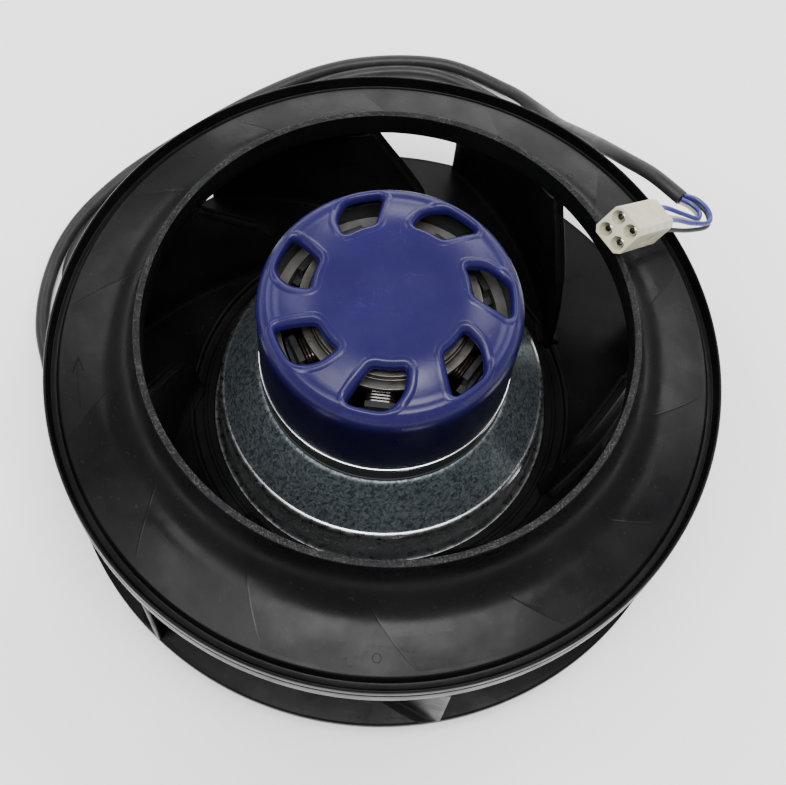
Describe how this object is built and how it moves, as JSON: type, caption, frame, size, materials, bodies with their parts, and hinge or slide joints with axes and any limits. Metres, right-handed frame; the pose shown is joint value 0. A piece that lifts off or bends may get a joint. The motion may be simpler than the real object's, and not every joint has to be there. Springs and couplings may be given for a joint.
{
  "type": "blower motor wheel",
  "caption": "Backward-curved centrifugal blower wheel pressed on an external-rotor motor, with inlet collar, ventilated rotor can, supply cable and plug.",
  "frame": {"origin": "centre of the motor's mounting face, which rests on the floor", "axes": "+Z along the shaft towards the air inlet; +X to the right and +Y away when the cable leaves at the left"},
  "size_m": [0.2124, 0.2463, 0.098],
  "materials": {
    "moulded_black": "satin moulded",
    "galvanised_steel": "mottled zinc",
    "blue_paint": "semi-gloss",
    "bright_ring": "bright rolled edge",
    "black_seal": "matt",
    "yoke_steel": "oiled",
    "bonded_magnet": "plastic-bonded ferrite",
    "cast_aluminium": "die cast",
    "ground_steel": "ground",
    "spring_steel": "phosphated",
    "cage_brass": "pressed",
    "varnished_wire": "varnished copper",
    "black_insulator": "moulded",
    "board_green": "solder mask",
    "capacitor_sleeve": "sleeve",
    "chip_black": "moulded",
    "gasket_rubber": "foam",
    "screw_steel": "zinc",
    "gland_rubber": "moulded",
    "cable_jacket": "satin jacket",
    "core_blue": "extruded",
    "core_white": "extruded",
    "core_black": "extruded",
    "connector_ivory": "moulded nylon",
    "contact_tin": "tin plated"
  },
  "bodies": {
    "motor": {"upper_bearing_outer": "ground_steel", "lower_bearing_outer": "ground_steel", "preload_spring": "spring_steel", "motor_base": "cast_aluminium", "bearing_cap": "cast_aluminium", "lamination_stack": "yoke_steel", "windings": "varnished_wire", "upper_insulator": "black_insulator", "lower_insulator": "black_insulator", "circuit_board": "board_green", "capacitors": "capacitor_sleeve", "power_chips": "chip_black", "base_lid": "moulded_black", "lid_gasket": "gasket_rubber", "lid_screws": "screw_steel", "board_screws": "screw_steel", "cable_gland": "gland_rubber", "supply_cable": "cable_jacket", "core_blue_a": "core_blue", "core_blue_b": "core_blue", "core_white": "core_white", "core_black": "core_black", "connector_housing": "connector_ivory", "connector_contacts": "contact_tin"},
    "wheel": {"inlet_shroud": "moulded_black", "blade_1": "moulded_black", "blade_2": "moulded_black", "blade_3": "moulded_black", "blade_4": "moulded_black", "blade_5": "moulded_black", "blade_6": "moulded_black", "blade_7": "moulded_black", "back_plate": "moulded_black", "hub_flange": "galvanised_steel", "rotor_can": "blue_paint", "can_edge_ring": "bright_ring", "can_seal_band": "black_seal", "rotor_yoke": "yoke_steel", "magnets": "bonded_magnet", "shaft_hub": "cast_aluminium", "shaft": "ground_steel", "shaft_circlip": "spring_steel", "upper_bearing_inner": "ground_steel", "lower_bearing_inner": "ground_steel"},
    "upper_balls": {"upper_ball_cage": "cage_brass"},
    "lower_balls": {"lower_ball_cage": "cage_brass"}
  },
  "joints": [
    {"name": "wheel_spin", "type": "hinge", "parent": "motor", "child": "wheel", "pos_m": [0, 0, 0.05], "axis": [0, 0, 1], "continuous": true},
    {"name": "upper_cage_spin", "type": "hinge", "parent": "motor", "child": "upper_balls", "pos_m": [0, 0, 0.0815], "axis": [0, 0, 1], "continuous": true},
    {"name": "lower_cage_spin", "type": "hinge", "parent": "motor", "child": "lower_balls", "pos_m": [0, 0, 0.0325], "axis": [0, 0, 1], "continuous": true}
  ],
  "couplings": [
    {"joint": "upper_cage_spin", "follows": "wheel_spin", "ratio": 0.3675},
    {"joint": "lower_cage_spin", "follows": "wheel_spin", "ratio": 0.3675}
  ]
}
